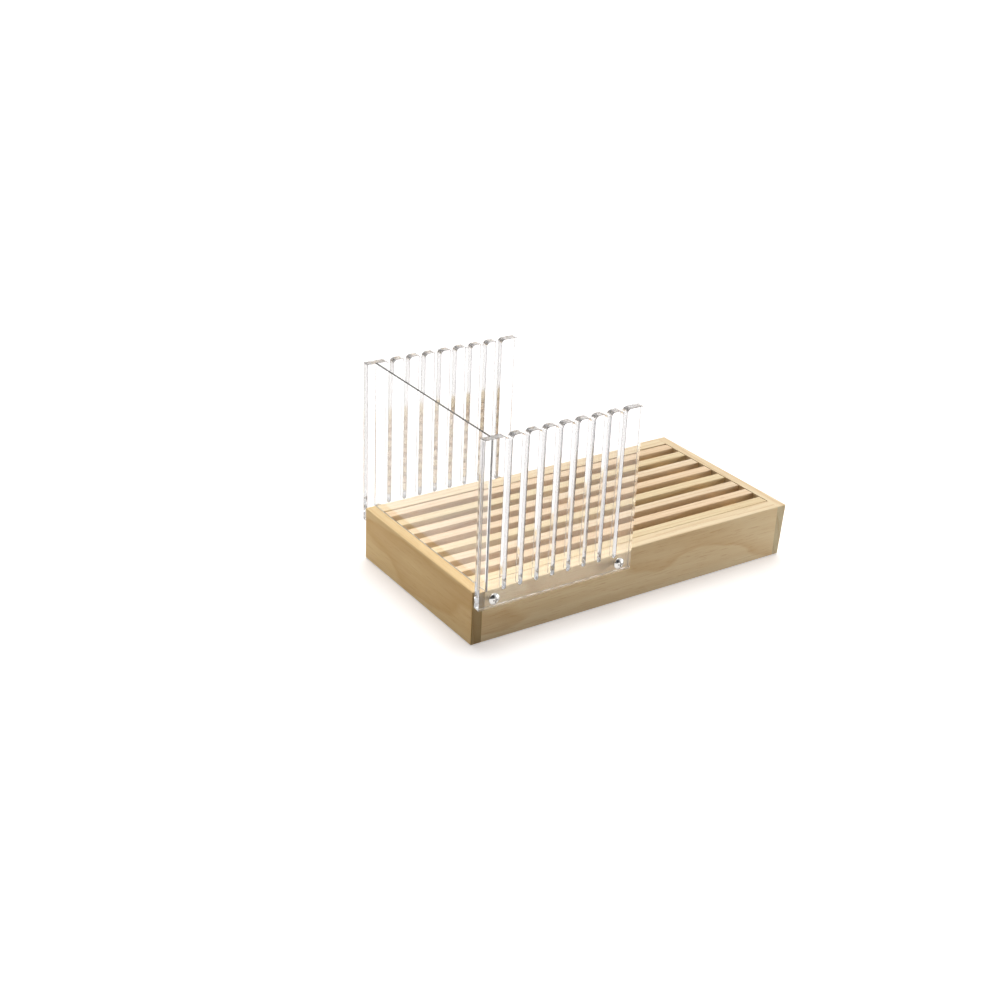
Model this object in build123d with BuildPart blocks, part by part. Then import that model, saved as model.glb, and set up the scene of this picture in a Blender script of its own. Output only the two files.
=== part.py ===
"""Bread slicer guide.

A pine crumb box carries a lift-out rack of eight slats. Two slotted clear panels stand
on its long sides and keep the knife upright, and a clear plate stops the loaf.
The origin is on the table under the middle of the box. X runs along the box to the
open end, Y to the back, Z up. All sizes are millimetres.
"""

import os

from build123d import *

os.makedirs("parts", exist_ok=True)

# Crumb box
box_length = 288.0
box_width = 150.0
box_height = 42.0
rail_thickness = 12.0
end_thickness = 8.4
right_end_undercut = 2.4  # the open end leans in towards the table, as a finger grip
outer_ease = 0.8
inner_ease = 0.4

# Bottom panel, held in grooves
bottom_thickness = 3.0
bottom_height = 4.0
groove_depth = 4.0
groove_play = 0.1
bottom_side_play = 0.4

# Dowels of the box corners
dowel_radius = 3.0
dowel_in_end = 4.5
dowel_in_rail = 11.5
dowel_heights = (12.5, 27.0)
dowel_fit = 0.05
dowel_chamfer = 0.6

# Lift-out rack
slat_count = 8
slat_width = 8.6
slat_depth = 9.0
slat_ease = 0.5
rack_front_gap = 0.4
rack_back_gap = 1.6
rack_end_gap = 0.5  # to an end board, or to the loaf stop where that stands further in
batten_width = 14.0
batten_depth = 6.0
batten_end_inset = 16.0

# Ledges that the rack rests on
ledge_width = 6.0
ledge_height = 8.0
ledge_end_inset = 14.0
ledge_brad_inset = 22.0
ledge_brad_count = 3

# Brads, in the rack and in the ledges
brad_radius = 0.7
brad_head_radius = 1.2
brad_head_height = 0.6
brad_length = 11.0
brad_point = 1.6
brad_tip_radius = 0.2
brad_fit = 0.03

# Clear guide panels
panel_inset = 1.4
panel_length = 130.2
panel_thickness = 6.0
panel_gap = 0.15  # to the rail
panel_lap = 12.7  # over the rail, below the rim of the box
panel_rise = 114.2  # above the rim
panel_ease = 0.2
slot_count = 8
slot_width = 3.2
first_slot_inset = 19.9  # from the left end of the panel
last_slot_inset = 15.8  # from the right end
slot_foot_rise = 0.0  # of the slots' round ends, above the rim
finger_radius = 3.4
panel_corner_radius = 0.9

# Clear loaf stop, let into both panels
stop_inset = 6.5  # from the left end of the panels
stop_thickness = 1.6
stop_groove_depth = 1.5
stop_gap = 0.15  # to the rim of the box
stop_fit = 0.08
stop_ease = 0.2

# Screws of the guide panels
screw_insets = (12.2, 11.0)  # from the left and the right end of the panel
screw_drop = 5.5  # below the rim
screw_radius = 1.75
screw_root_radius = 1.25
screw_length = 15.0
screw_point = 3.0
thread_pitch = 1.4
screw_head_radius = 4.3
screw_head_height = 2.6
screw_head_rim = 0.7
screw_head_gap = 0.05  # to the panel
screw_hole_play = 0.3
screw_fit = 0.03
recess_span = 4.4
recess_width = 1.0
recess_depth = 1.6

# Planes and lengths that several pieces share
x_left = -box_length / 2
x_right = box_length / 2
y_front = -box_width / 2
y_back = box_width / 2
opening_length = box_length - 2 * end_thickness
opening_width = box_width - 2 * rail_thickness
x_opening_left = x_left + end_thickness
x_opening_right = x_right - end_thickness
y_opening_front = y_front + rail_thickness
rail_middles = {-1: y_front + rail_thickness / 2, 1: y_back - rail_thickness / 2}

panel_left = x_left + panel_inset
panel_right = panel_left + panel_length
panel_bottom = box_height - panel_lap
panel_top = box_height + panel_rise
slot_pitch = (panel_length - first_slot_inset - last_slot_inset) / (slot_count - 1)
slot_places = [panel_left + first_slot_inset + slot_pitch * i for i in range(slot_count)]
slot_foot = box_height + slot_foot_rise
stop_left = panel_left + stop_inset
stop_foot = box_height + stop_gap
screw_height = box_height - screw_drop
screw_places = {"left": panel_left + screw_insets[0], "right": panel_right - screw_insets[1]}
screw_in_rail = screw_length - panel_thickness - panel_gap - screw_head_gap

rack_left = max(x_opening_left, stop_left + stop_thickness) + rack_end_gap
rack_right = x_opening_right - rack_end_gap
rack_length = rack_right - rack_left
rack_middle = (rack_left + rack_right) / 2
rack_front = y_opening_front + rack_front_gap
rack_width = opening_width - rack_front_gap - rack_back_gap
slat_pitch = (rack_width - slat_width) / (slat_count - 1)
slat_rows = [rack_front + slat_width / 2 + slat_pitch * i for i in range(slat_count)]
slat_underside = box_height - slat_depth
batten_underside = slat_underside - batten_depth
batten_reach = rack_length / 2 - batten_end_inset - batten_width / 2
batten_places = {
    "left": rack_middle - batten_reach,
    "middle": rack_middle,
    "right": rack_middle + batten_reach,
}

ledge_length = opening_length - 2 * ledge_end_inset
ledge_foot = batten_underside - ledge_height
ledge_brad_height = ledge_foot + ledge_height / 2
ledge_brad_span = ledge_length - 2 * ledge_brad_inset
ledge_brad_places = [
    ledge_brad_span * (i / (ledge_brad_count - 1) - 0.5) for i in range(ledge_brad_count)
]

FRONT, BACK = -1, 1
LEFT, RIGHT = -1, 1
NEAR = 0.01
STANDING = (Align.CENTER, Align.CENTER, Align.MIN)


def save(piece, name):
    """Label a finished piece and write it under its own name."""
    piece.part.label = name
    export_step(piece.part, f"parts/{name}.step")


def upright(y):
    """The upright plane along the box at this y. Its normal points to the front."""
    return Plane.XZ.offset(-y)


def edges_at(piece, axis, place):
    """The straight edges of a piece whose middles lie where the axis has this value."""
    return piece.edges().filter_by_position(axis, place - NEAR, place + NEAR)


def drill(plane, places, radius, depth):
    """Cut round holes into the piece being built, from the plane along its normal."""
    with BuildSketch(plane) as holes:
        with Locations(*places):
            Circle(radius)
    extrude(holes.sketch, amount=depth, mode=Mode.SUBTRACT)


def groove_for_bottom():
    """Cut the groove of the bottom panel into the frame board being built."""
    with BuildSketch(Plane.XY.offset(bottom_height)) as groove:
        Rectangle(opening_length + 2 * groove_depth, opening_width + 2 * groove_depth)
    extrude(groove.sketch, amount=bottom_thickness + groove_play, mode=Mode.SUBTRACT)


def brads(heads):
    """Add brads to the piece being built, each from its head plane along the plane's normal."""
    with Locations(*heads):
        Cylinder(brad_head_radius, brad_head_height, align=STANDING)
        Cylinder(brad_radius, brad_length - brad_point, align=STANDING)
    with Locations(*[head * Pos(0, 0, brad_length - brad_point) for head in heads]):
        Cone(brad_radius, brad_tip_radius, brad_point, align=STANDING)


# Long rails of the box

for name, side in (("front_rail", FRONT), ("back_rail", BACK)):
    y_outer = side * box_width / 2
    y_inner = side * opening_width / 2
    with BuildPart() as rail:
        with BuildSketch(Plane.XY):
            with Locations((0, rail_middles[side])):
                Rectangle(opening_length, rail_thickness)
        extrude(amount=box_height)
        fillet(edges_at(rail, Axis.Y, y_outer).filter_by(Axis.X), outer_ease)
        fillet(edges_at(rail, Axis.Y, y_inner).filter_by(Axis.X).sort_by(Axis.Z)[-1], inner_ease)
        groove_for_bottom()
        for x_end, inward in ((x_opening_left, 1), (x_opening_right, -1)):
            drill(
                Plane.YZ.offset(x_end),
                [(rail_middles[side], z) for z in dowel_heights],
                dowel_radius + dowel_fit,
                inward * (dowel_in_rail + dowel_fit),
            )
        drill(
            upright(y_outer),
            [(x, screw_height) for x in screw_places.values()],
            screw_radius + screw_fit,
            side * (screw_in_rail + screw_fit),
        )
        drill(
            upright(y_inner),
            [(x, ledge_brad_height) for x in ledge_brad_places],
            brad_radius + brad_fit,
            -side * (brad_length - ledge_width + brad_fit),
        )
    save(rail, name)


# End boards: they cover the ends of the rails, and the open end leans in at the table

for name, side, undercut in (
    ("left_end_board", LEFT, 0.0),
    ("right_end_board", RIGHT, right_end_undercut),
):
    x_outer = side * box_length / 2
    x_inner = side * opening_length / 2
    with BuildPart() as end_board:
        with BuildSketch(upright(y_back)):
            with BuildLine():
                Polyline(
                    (x_inner, 0),
                    (x_outer - side * undercut, 0),
                    (x_outer, box_height),
                    (x_inner, box_height),
                    close=True,
                )
            make_face()
        extrude(amount=box_width)
        at_rails = edges_at(end_board, Axis.X, x_inner)
        fillet([edge for edge in end_board.edges() if edge not in at_rails], outer_ease)
        groove_for_bottom()
        drill(
            Plane.YZ.offset(x_inner),
            [(y, z) for y in rail_middles.values() for z in dowel_heights],
            dowel_radius + dowel_fit,
            side * (dowel_in_end + dowel_fit),
        )
    save(end_board, name)

with BuildPart() as bottom_panel:
    with BuildSketch(Plane.XY.offset(bottom_height)):
        Rectangle(
            opening_length + 2 * (groove_depth - bottom_side_play),
            opening_width + 2 * (groove_depth - bottom_side_play),
        )
    extrude(amount=bottom_thickness)
save(bottom_panel, "bottom_panel")

with BuildPart() as corner_dowels:
    for x_end, inward in ((x_opening_left, 1), (x_opening_right, -1)):
        with BuildSketch(Plane.YZ.offset(x_end - inward * dowel_in_end)):
            with Locations(*[(y, z) for y in rail_middles.values() for z in dowel_heights]):
                Circle(dowel_radius)
        extrude(amount=inward * (dowel_in_end + dowel_in_rail))
    chamfer(corner_dowels.edges().filter_by(GeomType.CIRCLE), dowel_chamfer)
save(corner_dowels, "corner_dowels")


# Ledges under the rack, glued and pinned to the rails

for name, side in (("front_ledge", FRONT), ("back_ledge", BACK)):
    y_wall = side * opening_width / 2
    y_edge = y_wall - side * ledge_width
    with BuildPart() as ledge:
        with BuildSketch(Plane.XY.offset(ledge_foot)):
            with Locations((0, (y_wall + y_edge) / 2)):
                Rectangle(ledge_length, ledge_width)
        extrude(amount=ledge_height)
        fillet(edges_at(ledge, Axis.Y, y_edge).filter_by(Axis.X), inner_ease)
        pins = [(x, ledge_brad_height) for x in ledge_brad_places]
        drill(upright(y_edge), pins, brad_radius + brad_fit, -side * ledge_width)
        drill(
            upright(y_edge),
            pins,
            brad_head_radius + brad_fit,
            -side * (brad_head_height + brad_fit),
        )
    save(ledge, name)

with BuildPart() as ledge_brads:
    for side in (FRONT, BACK):
        y_edge = side * (opening_width / 2 - ledge_width)
        brads(
            [
                Location((x, y_edge, ledge_brad_height), (-side * 90, 0, 0))
                for x in ledge_brad_places
            ]
        )
save(ledge_brads, "ledge_brads")


# Lift-out rack: slats along the box, pinned from below to three battens

for number, y in enumerate(slat_rows, start=1):
    with BuildPart() as slat:
        with BuildSketch(Plane.XY.offset(slat_underside)):
            with Locations((rack_middle, y)):
                Rectangle(rack_length, slat_width)
        extrude(amount=slat_depth)
        fillet(slat.edges().group_by(Axis.Z)[-1], slat_ease)
        drill(
            Plane.XY.offset(slat_underside),
            [(x, y) for x in batten_places.values()],
            brad_radius + brad_fit,
            brad_length - batten_depth + brad_fit,
        )
    save(slat, f"slat_{number}")

for place, x in batten_places.items():
    with BuildPart() as batten:
        with BuildSketch(Plane.XY.offset(batten_underside)):
            with Locations((x, rack_front + rack_width / 2)):
                Rectangle(batten_width, rack_width)
        extrude(amount=batten_depth)
        fillet(batten.edges().filter_by(Axis.Y).group_by(Axis.Z)[0], inner_ease)
        pins = [(x, y) for y in slat_rows]
        drill(Plane.XY.offset(batten_underside), pins, brad_radius + brad_fit, batten_depth)
        drill(
            Plane.XY.offset(batten_underside),
            pins,
            brad_head_radius + brad_fit,
            brad_head_height + brad_fit,
        )
    save(batten, f"rack_batten_{place}")

with BuildPart() as rack_brads:
    brads([Location((x, y, batten_underside)) for x in batten_places.values() for y in slat_rows])
save(rack_brads, "rack_brads")


# Clear guide panels, screwed to the outer faces of the rails

for name, side in (("front_guide_panel", FRONT), ("back_guide_panel", BACK)):
    y_inner = side * (box_width / 2 + panel_gap)
    with BuildPart() as panel:
        with BuildSketch(upright(y_inner)) as outline:
            with Locations(((panel_left + panel_right) / 2, (panel_bottom + panel_top) / 2)):
                Rectangle(panel_length, panel_top - panel_bottom)
            with Locations(*[(x, (slot_foot + panel_top) / 2) for x in slot_places]):
                Rectangle(slot_width, panel_top - slot_foot, mode=Mode.SUBTRACT)
            tops = outline.vertices().group_by(Axis.Y)[-1].sort_by(Axis.X)
            fillet(tops[1:-1], min(finger_radius, (slot_pitch - slot_width) / 2 - NEAR))
            feet = outline.vertices().filter_by_position(
                Axis.Y, slot_foot - NEAR, slot_foot + NEAR
            )
            fillet(feet, slot_width / 2 - NEAR)
            ends = outline.vertices().group_by(Axis.X)
            fillet(ends[0] + ends[-1], panel_corner_radius)
        extrude(amount=-side * panel_thickness)
        chamfer(panel.faces().filter_by(Axis.Y).edges(), panel_ease)
        with BuildSketch(Plane.XY.offset(stop_foot - stop_fit)):
            with Locations((stop_left + stop_thickness / 2, y_inner)):
                Rectangle(
                    stop_thickness + 2 * stop_fit,
                    2 * (stop_groove_depth + stop_fit),
                )
        extrude(amount=panel_top - stop_foot + stop_fit, mode=Mode.SUBTRACT)
        drill(
            upright(y_inner),
            [(x, screw_height) for x in screw_places.values()],
            screw_radius + screw_hole_play,
            -side * panel_thickness,
        )
    save(panel, name)

with BuildPart() as loaf_stop:
    with BuildSketch(Plane.YZ.offset(stop_left)):
        with Locations((0, (stop_foot + panel_top) / 2)):
            Rectangle(
                box_width + 2 * (panel_gap + stop_groove_depth),
                panel_top - stop_foot,
            )
    extrude(amount=stop_thickness)
    chamfer(loaf_stop.edges(), stop_ease)
save(loaf_stop, "loaf_stop")


# Screws of the guide panels: pan heads outside, coarse thread in the rails

thread_length = screw_in_rail - screw_point
thread_turns = int(thread_length / thread_pitch)
thread_outline = []
for turn in range(thread_turns):
    root = screw_point - screw_length + turn * thread_pitch
    thread_outline.append((screw_root_radius, root + thread_pitch / 4))
    thread_outline.append((screw_radius, root + thread_pitch / 2))
    thread_outline.append((screw_root_radius, root + thread_pitch * 3 / 4))

for side, where in ((FRONT, "front"), (BACK, "back")):
    y_head = side * (box_width / 2 + panel_gap + panel_thickness + screw_head_gap)
    for end, x in screw_places.items():
        # In the sketch, x is the radius and y is the height above the seat of the head.
        turned = Plane(origin=(x, y_head, screw_height), x_dir=(1, 0, 0), z_dir=(0, 0, side))
        with BuildPart() as screw:
            with BuildSketch(turned):
                with BuildLine():
                    Polyline(
                        (0, screw_head_height),
                        (0, -screw_length),
                        (screw_root_radius, screw_point - screw_length),
                        *thread_outline,
                        (screw_root_radius, screw_in_rail - screw_length),
                        (screw_radius, screw_in_rail - screw_length),
                        (screw_radius, 0),
                        (screw_head_radius, 0),
                        (screw_head_radius, screw_head_rim),
                    )
                    TangentArc(
                        (0, screw_head_height),
                        (screw_head_radius, screw_head_rim),
                        tangent=(1, 0),
                    )
                make_face()
            revolve(axis=Axis((x, y_head, screw_height), (0, 1, 0)))
            with BuildSketch(upright(y_head + side * screw_head_height)):
                with Locations((x, screw_height)):
                    Rectangle(recess_span, recess_width)
                    Rectangle(recess_width, recess_span)
            extrude(amount=side * recess_depth, mode=Mode.SUBTRACT)
        save(screw, f"{where}_screw_{end}")
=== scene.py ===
"""Look of the bread slicer guide: a pine crumb box with a slatted rack, clear slotted
guide panels and a clear loaf stop. Lengths are metres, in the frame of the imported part.
"""
import math
import random
from typing import NamedTuple

import bpy
from mathutils import Matrix, Vector


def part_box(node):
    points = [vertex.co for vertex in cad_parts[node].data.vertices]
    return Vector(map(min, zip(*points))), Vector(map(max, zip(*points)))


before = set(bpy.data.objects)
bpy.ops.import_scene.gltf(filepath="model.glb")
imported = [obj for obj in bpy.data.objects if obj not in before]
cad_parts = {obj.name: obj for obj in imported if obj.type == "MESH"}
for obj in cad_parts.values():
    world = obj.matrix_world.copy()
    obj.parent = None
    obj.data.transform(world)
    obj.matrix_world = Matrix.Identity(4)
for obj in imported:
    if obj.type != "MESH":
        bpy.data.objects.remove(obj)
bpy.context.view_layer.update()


# ---------------------------------------------------------------- colours and nodes

# The colour sockets of Blender's mix node, which has others for numbers and vectors.
MIX_FACTOR, MIX_A, MIX_B = 0, 6, 7
MIX_RESULT = 2

# Most of a noise's values lie between these two.
NOISE_LOW, NOISE_HIGH = 0.3, 0.7


def linear(red, green, blue):
    """An 8-bit screen colour as a linear one."""
    return tuple(
        c / 12.92 if c <= 0.04045 else ((c + 0.055) / 1.055) ** 2.4
        for c in (red / 255, green / 255, blue / 255)
    )


def rgba(colour):
    return (*colour, 1.0)


class Tree:
    """A few words for building nodes. An input takes a number, a colour or a socket."""

    def __init__(self, tree):
        self.tree = tree
        tree.nodes.clear()

    def node(self, kind, **settings):
        made = self.tree.nodes.new(kind)
        for name, value in settings.items():
            setattr(made, name, value)
        return made

    def feed(self, socket, value):
        if isinstance(value, bpy.types.NodeSocket):
            self.tree.links.new(value, socket)
        else:
            socket.default_value = value

    def fed(self, kind, *values, **settings):
        """A node whose first inputs take the values, in order."""
        made = self.node(kind, **settings)
        for socket, value in zip(made.inputs, values):
            self.feed(socket, value)
        return made

    def math(self, operation, a, b=0.0, clamp=False):
        return self.fed("ShaderNodeMath", a, b, operation=operation, use_clamp=clamp).outputs[0]

    def plus(self, a, b, clamp=False):
        return self.math("ADD", a, b, clamp)

    def minus(self, a, b):
        return self.math("SUBTRACT", a, b)

    def times(self, a, b):
        return self.math("MULTIPLY", a, b)

    def apart(self, vector):
        """The X, Y and Z of a vector."""
        return self.fed("ShaderNodeSeparateXYZ", vector).outputs

    def noise(self, place, cells, detail=2.0, roughness=0.5, shift=(0.0, 0.0, 0.0)):
        """Noise at a place, with so many cells per metre along X, Y and Z."""
        where = self.fed("ShaderNodeVectorMath", place, cells, shift, operation="MULTIPLY_ADD")
        made = self.node("ShaderNodeTexNoise")
        self.feed(made.inputs["Vector"], where.outputs[0])
        made.inputs["Scale"].default_value = 1.0
        made.inputs["Detail"].default_value = detail
        made.inputs["Roughness"].default_value = roughness
        return made.outputs["Fac"]

    def spread(self, value, low, high, to_low=0.0, to_high=1.0):
        """Draw low to high out to another range, and hold the value at its ends."""
        return self.fed("ShaderNodeMapRange", value, low, high, to_low, to_high).outputs[0]

    def ramp(self, factor, stops):
        """Grey levels at places from 0 to 1."""
        made = self.fed("ShaderNodeValToRGB", factor)
        elements = made.color_ramp.elements
        while len(elements) < len(stops):
            elements.new(0.5)
        for element, (place, level) in zip(elements, stops):
            element.position = place
            element.color = rgba((level,) * 3)
        return made.outputs[0]

    def mix(self, factor, a, b, blend="MIX"):
        made = self.node("ShaderNodeMix", data_type="RGBA", blend_type=blend)
        for socket, value in ((MIX_FACTOR, factor), (MIX_A, a), (MIX_B, b)):
            self.feed(made.inputs[socket], value)
        return made.outputs[MIX_RESULT]

    def tinted(self, colour, tint):
        return self.mix(1.0, colour, rgba(tint), "MULTIPLY")

    def bump(self, height, distance, strength):
        made = self.node("ShaderNodeBump")
        self.feed(made.inputs["Height"], height)
        made.inputs["Distance"].default_value = distance
        made.inputs["Strength"].default_value = strength
        return made.outputs[0]

    def shader(self, kind, **inputs):
        """A shader with its inputs fed by name."""
        made = self.node(kind)
        for name, value in inputs.items():
            self.feed(made.inputs[name.replace("_", " ")], value)
        return made.outputs[0]

    def choose(self, factor, a, b):
        """Shader a where the factor is 0, and b where it is 1."""
        return self.fed("ShaderNodeMixShader", factor, a, b).outputs[0]

    def output(self, surface, kind="ShaderNodeOutputMaterial"):
        self.feed(self.node(kind).inputs["Surface"], surface)


def material(name):
    made = bpy.data.materials.new(name)
    made.use_nodes = True
    return made, Tree(made.node_tree)


def wear(name, made):
    """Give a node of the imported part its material."""
    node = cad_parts[name]
    node.data.materials.clear()
    node.data.materials.append(made)


# ---------------------------------------------------------------- wood


class Figure(NamedTuple):
    """A figure in the wood, made by noise that is drawn out along the grain."""

    along: float  # cells per metre along the grain
    across: float  # cells per metre across it
    strength: float  # how much it adds
    detail: float = 2.0
    roughness: float = 0.5


# Figures that move the rings: their strength is in ring widths.
SWAY = Figure(along=3.0, across=9.0, strength=2.6)
RIPPLE = Figure(along=16.0, across=60.0, strength=0.22)

# Figures that colour the wood: their strength is the share of the darker colour.
STREAK = Figure(along=8.0, across=190.0, strength=0.26)
CLOUD = Figure(along=9.0, across=24.0, strength=0.45)
FIBRE = Figure(along=30.0, across=1100.0, strength=0.5, detail=3.0, roughness=0.6)
PORE = Figure(along=75.0, across=1900.0, strength=0.4, detail=1.0)
PORE_FROM = 0.82  # only the peaks of its noise are pores
GROWTH_STRENGTH = 0.5

# How late the wood is, from 0 to 1, at places from the start of a year's ring to its end.
YEAR = ((0.0, 0.06), (0.5, 0.14), (0.8, 0.6), (0.93, 1.0), (1.0, 0.06))

# How high each figure stands, or how deep it lies, as a share of the wood's relief.
FIBRE_RISE, GROWTH_DROP, PORE_DROP = 0.6, 0.4, 0.5
WOOD_RELIEF = 0.00008
WOOD_ROUGHNESS = (0.5, 0.66)

CREAM = linear(243, 226, 193)
HONEY = linear(213, 176, 124)
AMBER = linear(196, 150, 98)
FIBRE_SHADE = (0.88, 0.83, 0.76)
END_GRAIN = (0.77, 0.83, 0.88)
# The left end board is darker and more saturated than the rest: partly its own tone, partly
# painted warm shade. Its end grain is darker still, partly painted shade.
GOLDEN_AND_SHADE = {"pale": linear(238, 212, 162), "late": linear(208, 166, 106), "end": (0.52,) * 3}
BIRCH = {"pale": linear(240, 216, 176), "late": linear(220, 184, 134)}
BEECH = {"pale": linear(232, 196, 150), "late": linear(206, 160, 112)}

# How far a face looks along the grain where end grain begins, and where it is whole.
END_FACING = (0.8, 0.95)

# A slat's pith lies to its side by the nearest distance and some steps. From slat to slat
# the steps go on by the stride, round a ring of so many places.
SLAT_TINTS = (linear(245, 226, 198), linear(240, 224, 186), linear(244, 219, 188))
SLAT_PITH_NEAR, SLAT_PITH_STEP = 0.05, 0.012
SLAT_STRIDE, SLAT_PLACES = 5, 7
FIRST_SLAT_SEED, FIRST_BATTEN_SEED = 24, 41

# The turn that lays the grain along X.
GRAIN_TURNS = {"x": (0.0, 0.0, 0.0), "y": (0.0, 0.0, math.radians(90))}


def year_rings(tree, along, drawn, pith, ring, tilt):
    """How late the wood is, from 0 to 1, in rings round the pith line."""
    x, y, z = tree.apart(along)
    y = tree.plus(tree.minus(y, pith[0]), tree.times(x, tilt))
    z = tree.minus(z, pith[1])
    reach = tree.math("SQRT", tree.plus(tree.times(y, y), tree.times(z, z)))
    sway = tree.times(drawn(SWAY), SWAY.strength * ring)
    ripple = tree.times(drawn(RIPPLE), RIPPLE.strength * ring)
    reach = tree.plus(tree.plus(reach, sway), ripple)
    year = tree.math("FRACT", tree.math("DIVIDE", reach, ring))
    return tree.ramp(year, YEAR)


def pine(name, grain, pith, ring, tilt, seed, pale=CREAM, late=HONEY, end=END_GRAIN):
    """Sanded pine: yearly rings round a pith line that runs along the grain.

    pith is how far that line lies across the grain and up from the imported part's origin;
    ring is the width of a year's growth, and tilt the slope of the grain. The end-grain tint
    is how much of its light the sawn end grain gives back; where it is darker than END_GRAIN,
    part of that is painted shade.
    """
    made, tree = material(name)
    chance = random.Random(seed)
    shift = tuple(chance.uniform(-1, 1) for _ in range(3))
    coordinates = tree.node("ShaderNodeTexCoord")
    turn = tree.fed("ShaderNodeMapping", coordinates.outputs["Object"])
    turn.inputs["Rotation"].default_value = GRAIN_TURNS[grain]
    along = turn.outputs[0]

    def drawn(figure):
        """A figure's noise, as 0 to 1."""
        cells = (figure.along, figure.across, figure.across)
        noise = tree.noise(along, cells, figure.detail, figure.roughness, shift)
        return tree.spread(noise, NOISE_LOW, NOISE_HIGH)

    growth = year_rings(tree, along, drawn, pith, ring, tilt)
    fibre = drawn(FIBRE)
    pore = tree.spread(drawn(PORE), PORE_FROM, 1.0)
    colour = tree.mix(tree.times(growth, GROWTH_STRENGTH), rgba(pale), rgba(late))
    colour = tree.mix(tree.times(drawn(STREAK), STREAK.strength), colour, rgba(late))
    shaded = tree.tinted(colour, FIBRE_SHADE)
    colour = tree.mix(tree.times(fibre, FIBRE.strength), colour, shaded)
    colour = tree.mix(tree.times(drawn(CLOUD), CLOUD.strength), colour, shaded)
    colour = tree.mix(tree.times(pore, PORE.strength), colour, rgba(AMBER))

    # The end grain is tinted darker, as real end grain is; on the left end board the darker
    # tint is partly painted shade.
    facing = tree.apart(coordinates.outputs["Normal"])[grain.upper()]
    at_end = tree.spread(tree.math("ABSOLUTE", facing), *END_FACING)
    colour = tree.mix(at_end, colour, tree.tinted(colour, end))

    ridges = tree.minus(tree.times(fibre, FIBRE_RISE), tree.times(growth, GROWTH_DROP))
    height = tree.minus(ridges, tree.times(pore, PORE_DROP))
    tree.output(
        tree.shader(
            "ShaderNodeBsdfPrincipled",
            Base_Color=colour,
            Roughness=tree.spread(fibre, 0.0, 1.0, *WOOD_ROUGHNESS),
            Specular_IOR_Level=0.35,
            Normal=tree.bump(height, WOOD_RELIEF, strength=0.6),
        )
    )
    return made


def dress_board(name, grain, pith, ring, tilt, seed, **colours):
    """Give a board its own pine.

    pith is measured from the board's middle. Where the grain runs along Y, it is measured
    from that middle's mirror image on the other side of the origin, so that an end board's
    rings are wide arcs.
    """
    low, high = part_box(name)
    middle = (low + high) / 2
    across = middle.y if grain == "x" else -middle.x
    place = (across + pith[0], middle.z + pith[1])
    wear(name, pine(f"pine_{name}", grain, place, ring, tilt, seed, **colours))


def dress_box():
    dress_board("front_rail", "x", pith=(0.07, 0.004), ring=0.0062, tilt=0.03, seed=3)
    dress_board("back_rail", "x", pith=(-0.06, 0.02), ring=0.0056, tilt=-0.02, seed=5)
    # The left end board's colours and end grain carry painted shade as well as its own tone.
    dress_board(
        "left_end_board", "y", pith=(-0.075, -0.01), ring=0.0066, tilt=0.05, seed=11, **GOLDEN_AND_SHADE
    )
    dress_board("right_end_board", "y", pith=(0.06, -0.03), ring=0.006, tilt=0.04, seed=12)
    dress_board("front_ledge", "x", pith=(0.03, -0.05), ring=0.005, tilt=0.0, seed=17)
    dress_board("back_ledge", "x", pith=(0.03, -0.05), ring=0.005, tilt=0.0, seed=18)


def dress_rack():
    """The slats' piths lie on either side in turn, at uneven distances."""
    slats = sorted(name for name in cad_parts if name.startswith("slat_"))
    for number, name in enumerate(slats, start=1):
        steps = number * SLAT_STRIDE % SLAT_PLACES
        side = (SLAT_PITH_NEAR + SLAT_PITH_STEP * steps) * (-1) ** number
        tint = SLAT_TINTS[number % len(SLAT_TINTS)]
        seed = FIRST_SLAT_SEED + number - 1
        dress_board(name, "x", pith=(side, -0.03), ring=0.0042, tilt=0.02, seed=seed, pale=tint)
    for seed, place in enumerate(("left", "middle", "right"), start=FIRST_BATTEN_SEED):
        batten = f"rack_batten_{place}"
        dress_board(batten, "y", pith=(0.04, -0.03), ring=0.005, tilt=0.0, seed=seed)


def dress_bottom():
    """The bottom panel is birch, and the dowels in the box's corners are beech."""
    dress_board("bottom_panel", "x", pith=(0.0, 0.4), ring=0.011, tilt=0.0, seed=53, **BIRCH)
    dress_board("corner_dowels", "x", pith=(0.0, 0.2), ring=0.003, tilt=0.0, seed=59, **BEECH)


# ---------------------------------------------------------------- clear acrylic

X_AXIS, Y_AXIS = 0, 1
CLEAR_TINT = (0.985, 0.988, 0.992)
SHADOW_TINT = (0.93, 0.935, 0.94)
ACRYLIC_IOR = 1.49
POLISHED_ROUGHNESS = (0.004, 0.02)
HAZE_CELLS = (60.0, 60.0, 60.0)
HAZE_LOW, HAZE_HIGH = 0.35, 0.75
SAW_CELLS = (500.0, 500.0, 2600.0)
SAW_RELIEF = 0.00002

# How far a surface looks along the flat faces' axis: from 1 on those faces to 0 on a sawn
# edge. Each pair says where a look begins and where it is whole.
SAWN_FACING = (0.6, 0.4)
# Where the arrises lie. They are tinted with painted shade.
ARRIS_SHADE_FROM_EDGE = (0.5, 0.62)
ARRIS_SHADE_FROM_FACE = (0.92, 0.8)


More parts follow.
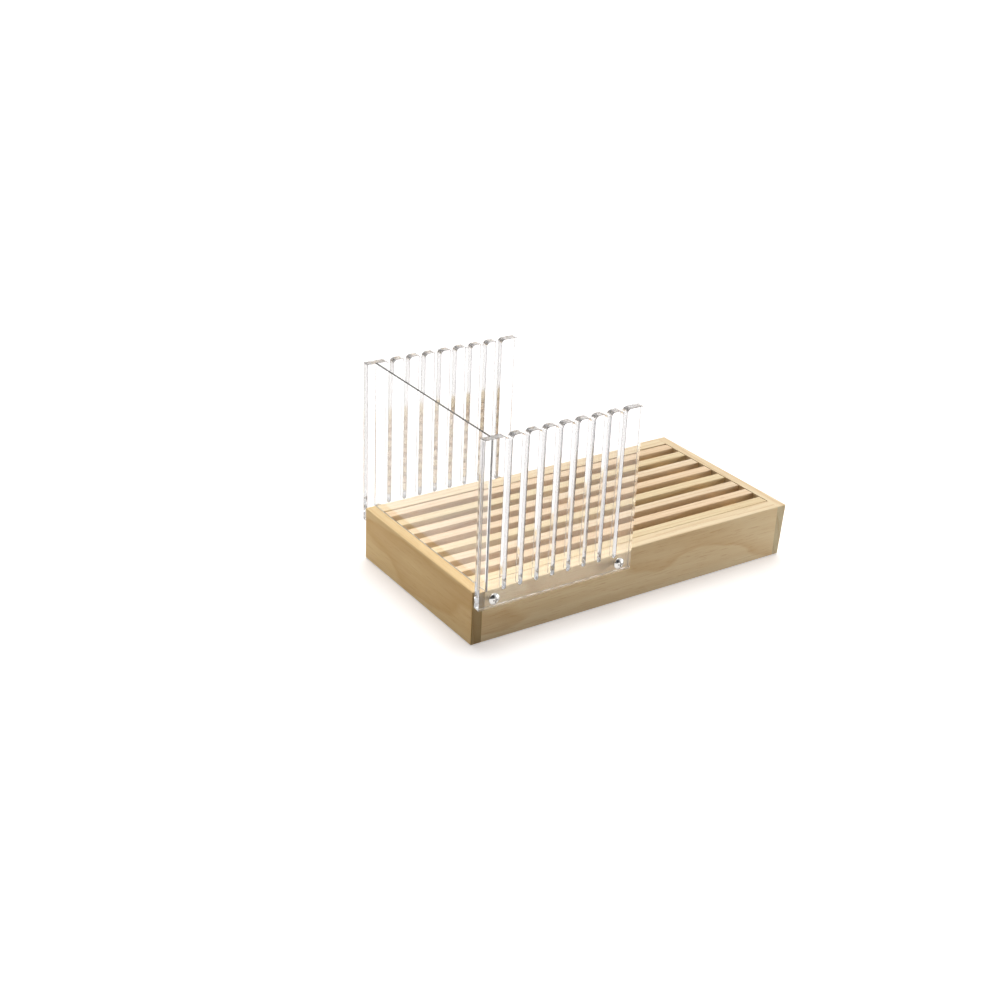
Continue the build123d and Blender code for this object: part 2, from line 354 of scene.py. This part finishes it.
def acrylic(name, flat_axis, arris_painted_shade, sawn_painted_shade, sawn_roughness):
    """Clear sheet: glossy flat faces and sawn edges that scatter a little. The sawn edges and
    the arrises are tinted grey to near black: painted shade for the dark that such edges
    show as they bend light away.

    flat_axis is the axis that the flat faces look along. sawn_roughness is how rough the
    sawn edges are, at least and at most.
    """
    made, tree = material(name)
    coordinates = tree.node("ShaderNodeTexCoord")
    place = coordinates.outputs["Object"]
    facing = tree.apart(coordinates.outputs["Normal"])
    flat = tree.math("ABSOLUTE", facing[flat_axis])
    sawn = tree.spread(flat, *SAWN_FACING)
    arris_shade_mask = tree.times(tree.spread(flat, *ARRIS_SHADE_FROM_EDGE), tree.spread(flat, *ARRIS_SHADE_FROM_FACE))
    haze = tree.noise(place, HAZE_CELLS, detail=3.0)
    marks = tree.noise(place, SAW_CELLS)
    polished = tree.spread(haze, HAZE_LOW, HAZE_HIGH, *POLISHED_ROUGHNESS)
    scattered = tree.spread(marks, NOISE_LOW, NOISE_HIGH, *sawn_roughness)
    # Painted shade: the sawn edges, and then the arrises, are tinted grey to near black.
    colour = tree.mix(sawn, rgba(CLEAR_TINT), rgba(sawn_painted_shade))
    colour = tree.mix(arris_shade_mask, colour, rgba(arris_painted_shade))
    glass = tree.shader(
        "ShaderNodeBsdfPrincipled",
        Base_Color=colour,
        Roughness=tree.plus(
            tree.times(polished, tree.minus(1.0, sawn)),
            tree.times(scattered, sawn),
        ),
        IOR=ACRYLIC_IOR,
        Transmission_Weight=1.0,
        Specular_IOR_Level=0.5,
        Normal=tree.bump(tree.times(marks, sawn), SAW_RELIEF, strength=0.4),
    )
    open_glass = tree.shader("ShaderNodeBsdfTransparent", Color=rgba(SHADOW_TINT))
    lamp_ray = tree.node("ShaderNodeLightPath").outputs["Is Shadow Ray"]
    tree.output(tree.choose(lamp_ray, glass, open_glass))
    return made


def dress_acrylic():
    # The sawn edges and arrises of both sheets are given painted shade, grey to near black.
    panel = acrylic(
        "clear_panels",
        flat_axis=Y_AXIS,
        arris_painted_shade=(0.06, 0.06, 0.065),
        sawn_painted_shade=(0.70, 0.70, 0.71),
        sawn_roughness=(0.04, 0.1),
    )
    wear("front_guide_panel", panel)
    wear("back_guide_panel", panel)
    plate = acrylic(
        "clear_stop",
        flat_axis=X_AXIS,
        arris_painted_shade=(0.1, 0.1, 0.1),
        sawn_painted_shade=(0.12, 0.115, 0.11),
        sawn_roughness=(0.1, 0.2),
    )
    wear("loaf_stop", plate)


# ---------------------------------------------------------------- metal

WORN_CELLS = (900.0, 900.0, 900.0)
WORN_SHADE = 0.78
LEAST_ROUGH, MOST_ROUGH = 0.7, 1.5  # times the metal's own roughness
METAL_RELIEF = 0.00002


def steel(name, colour, roughness):
    """Bright steel, a little darker and rougher in places."""
    made, tree = material(name)
    place = tree.node("ShaderNodeTexCoord").outputs["Object"]
    worn = tree.noise(place, WORN_CELLS, detail=3.0, roughness=0.6)
    darker = tuple(c * WORN_SHADE for c in colour)
    least, most = roughness * LEAST_ROUGH, roughness * MOST_ROUGH
    tree.output(
        tree.shader(
            "ShaderNodeBsdfPrincipled",
            Base_Color=tree.mix(worn, rgba(colour), rgba(darker)),
            Metallic=1.0,
            Roughness=tree.spread(worn, NOISE_LOW, NOISE_HIGH, least, most),
            Normal=tree.bump(worn, METAL_RELIEF, strength=0.4),
        )
    )
    return made


def dress_metal():
    bright = steel("screw_steel", (0.80, 0.79, 0.77), roughness=0.16)
    for where in ("front", "back"):
        for side in ("left", "right"):
            wear(f"{where}_screw_{side}", bright)
    wire = steel("brad_steel", (0.62, 0.61, 0.60), roughness=0.3)
    for name in ("rack_brads", "ledge_brads"):
        wear(name, wire)


# ---------------------------------------------------------------- floor and world

FLOOR_RADIUS = 14.0
FLOOR_DROP = 0.0004  # keeps it off the box's underside
FLOOR_BOUNCE = (0.40, 0.33, 0.215)
FLOOR_LIT = (0.80, 0.80, 0.80)
FLOOR_GLOW = (0.42, 0.395, 0.385)
WHITE = (1.0, 1.0, 1.0)
WARM_WHITE = (1.0, 0.99, 0.97)
SKY_STRENGTH = 0.15

# The studio's dark end: the way to its middle, the cosines of the angle from there at which
# it begins and is whole, and how bright it is.
DARK_END = (-0.35, -0.85, 0.35)
DARK_FROM, DARK_WHOLE = 0.55, 0.85
DARK_STRENGTH = 0.06


def shown_ray(tree):
    """1 for rays that show the background: to the camera, in metal and through glass.

    Light that a dull surface has scattered shows nothing, also where it then meets glass.
    """
    path = tree.node("ShaderNodeLightPath")
    seen = tree.plus(path.outputs["Is Camera Ray"], path.outputs["Is Glossy Ray"])
    seen = tree.plus(seen, path.outputs["Is Transmission Ray"], clamp=True)
    return tree.times(seen, tree.math("LESS_THAN", path.outputs["Diffuse Depth"], 0.5))


def make_floor():
    """A wide pale floor. Where it is shown, a glow and its lit white add up to white."""
    bpy.ops.mesh.primitive_circle_add(vertices=96, radius=FLOOR_RADIUS, fill_type="NGON")
    floor = bpy.context.object
    floor.name = "floor"
    floor.location.z = -FLOOR_DROP
    made, tree = material("floor_white")
    pale = tree.shader("ShaderNodeBsdfDiffuse", Color=rgba(FLOOR_BOUNCE))
    bright = tree.shader("ShaderNodeBsdfDiffuse", Color=rgba(FLOOR_LIT))
    glow = tree.shader("ShaderNodeEmission", Color=rgba(FLOOR_GLOW), Strength=1.0)
    shown = tree.fed("ShaderNodeAddShader", bright, glow).outputs[0]
    tree.output(tree.choose(shown_ray(tree), pale, shown))
    floor.data.materials.append(made)


def make_world():
    """White where it is shown, apart from the studio's dark end, and soft light elsewhere.

    The camera sees no dark end: only metal and glass do.
    """
    world = bpy.data.worlds.new("studio")
    bpy.context.scene.world = world
    world.use_nodes = True
    tree = Tree(world.node_tree)
    towards = tree.node("ShaderNodeTexCoord").outputs["Generated"]
    dark_middle = tuple(Vector(DARK_END).normalized())
    facing = tree.fed("ShaderNodeVectorMath", towards, dark_middle, operation="DOT_PRODUCT")
    studio = tree.spread(facing.outputs["Value"], DARK_FROM, DARK_WHOLE, 1.0, DARK_STRENGTH)
    camera_ray = tree.node("ShaderNodeLightPath").outputs["Is Camera Ray"]
    strength = tree.math("MAXIMUM", studio, camera_ray)
    white = tree.shader("ShaderNodeBackground", Color=rgba(WHITE), Strength=strength)
    soft = tree.shader("ShaderNodeBackground", Color=rgba(WARM_WHITE), Strength=SKY_STRENGTH)
    tree.output(tree.choose(shown_ray(tree), soft, white), kind="ShaderNodeOutputWorld")


# ---------------------------------------------------------------- lamps and camera

LAMP_AIM = (0.0, 0.0, 0.03)

# The photograph's own view: it comes from the box's straight edges.
CAMERA_PLACE = (-0.65168, -0.84215, 0.55204)
CAMERA_AIM = (-0.056745, 0.024099, 0.05)
CAMERA_ROLL = math.radians(2.5838)
SENSOR_WIDTH = 36.0
LENS_PER_SENSOR = 1.54429


def aimed(thing, at, roll=0.0):
    """Turn a lamp or camera so that it looks at a point."""
    turn = (Vector(at) - thing.location).to_track_quat("-Z", "Y").to_matrix()
    thing.rotation_euler = (turn @ Matrix.Rotation(roll, 3, "Z")).to_euler()


def place_lamp(name, kind, place, power, **settings):
    data = bpy.data.lights.new(name, kind)
    data.energy = power
    data.color = WARM_WHITE
    for setting, value in settings.items():
        setattr(data, setting, value)
    made = bpy.data.objects.new(name, data)
    bpy.context.scene.collection.objects.link(made)
    made.location = place
    aimed(made, LAMP_AIM)


def make_lamps():
    place_lamp("key", "SUN", (0.35, 0.45, 1.3), power=2.72, angle=math.radians(50))
    place_lamp("right_softbox", "AREA", (0.66, -0.42, 0.11), power=2.45, size=0.22)
    place_lamp("far_softbox", "AREA", (-0.6, 0.42, 0.12), power=1.35, size=0.25)


def make_camera():
    data = bpy.data.cameras.new("camera")
    data.sensor_width = SENSOR_WIDTH
    data.lens = SENSOR_WIDTH * LENS_PER_SENSOR
    data.clip_start = 0.01
    data.clip_end = 100.0
    camera = bpy.data.objects.new("camera", data)
    bpy.context.scene.collection.objects.link(camera)
    camera.location = CAMERA_PLACE
    aimed(camera, CAMERA_AIM, CAMERA_ROLL)
    bpy.context.scene.camera = camera


# ---------------------------------------------------------------- the whole scene

# Light meets the fingers' faces many times before it leaves them.
GLASS_BOUNCES = 48

dress_box()
dress_rack()
dress_bottom()
dress_acrylic()
dress_metal()
make_floor()
make_world()
make_lamps()
make_camera()
scene = bpy.context.scene
scene.view_settings.view_transform = "Standard"
scene.cycles.max_bounces = GLASS_BOUNCES
scene.cycles.transmission_bounces = GLASS_BOUNCES
scene.cycles.glossy_bounces = GLASS_BOUNCES
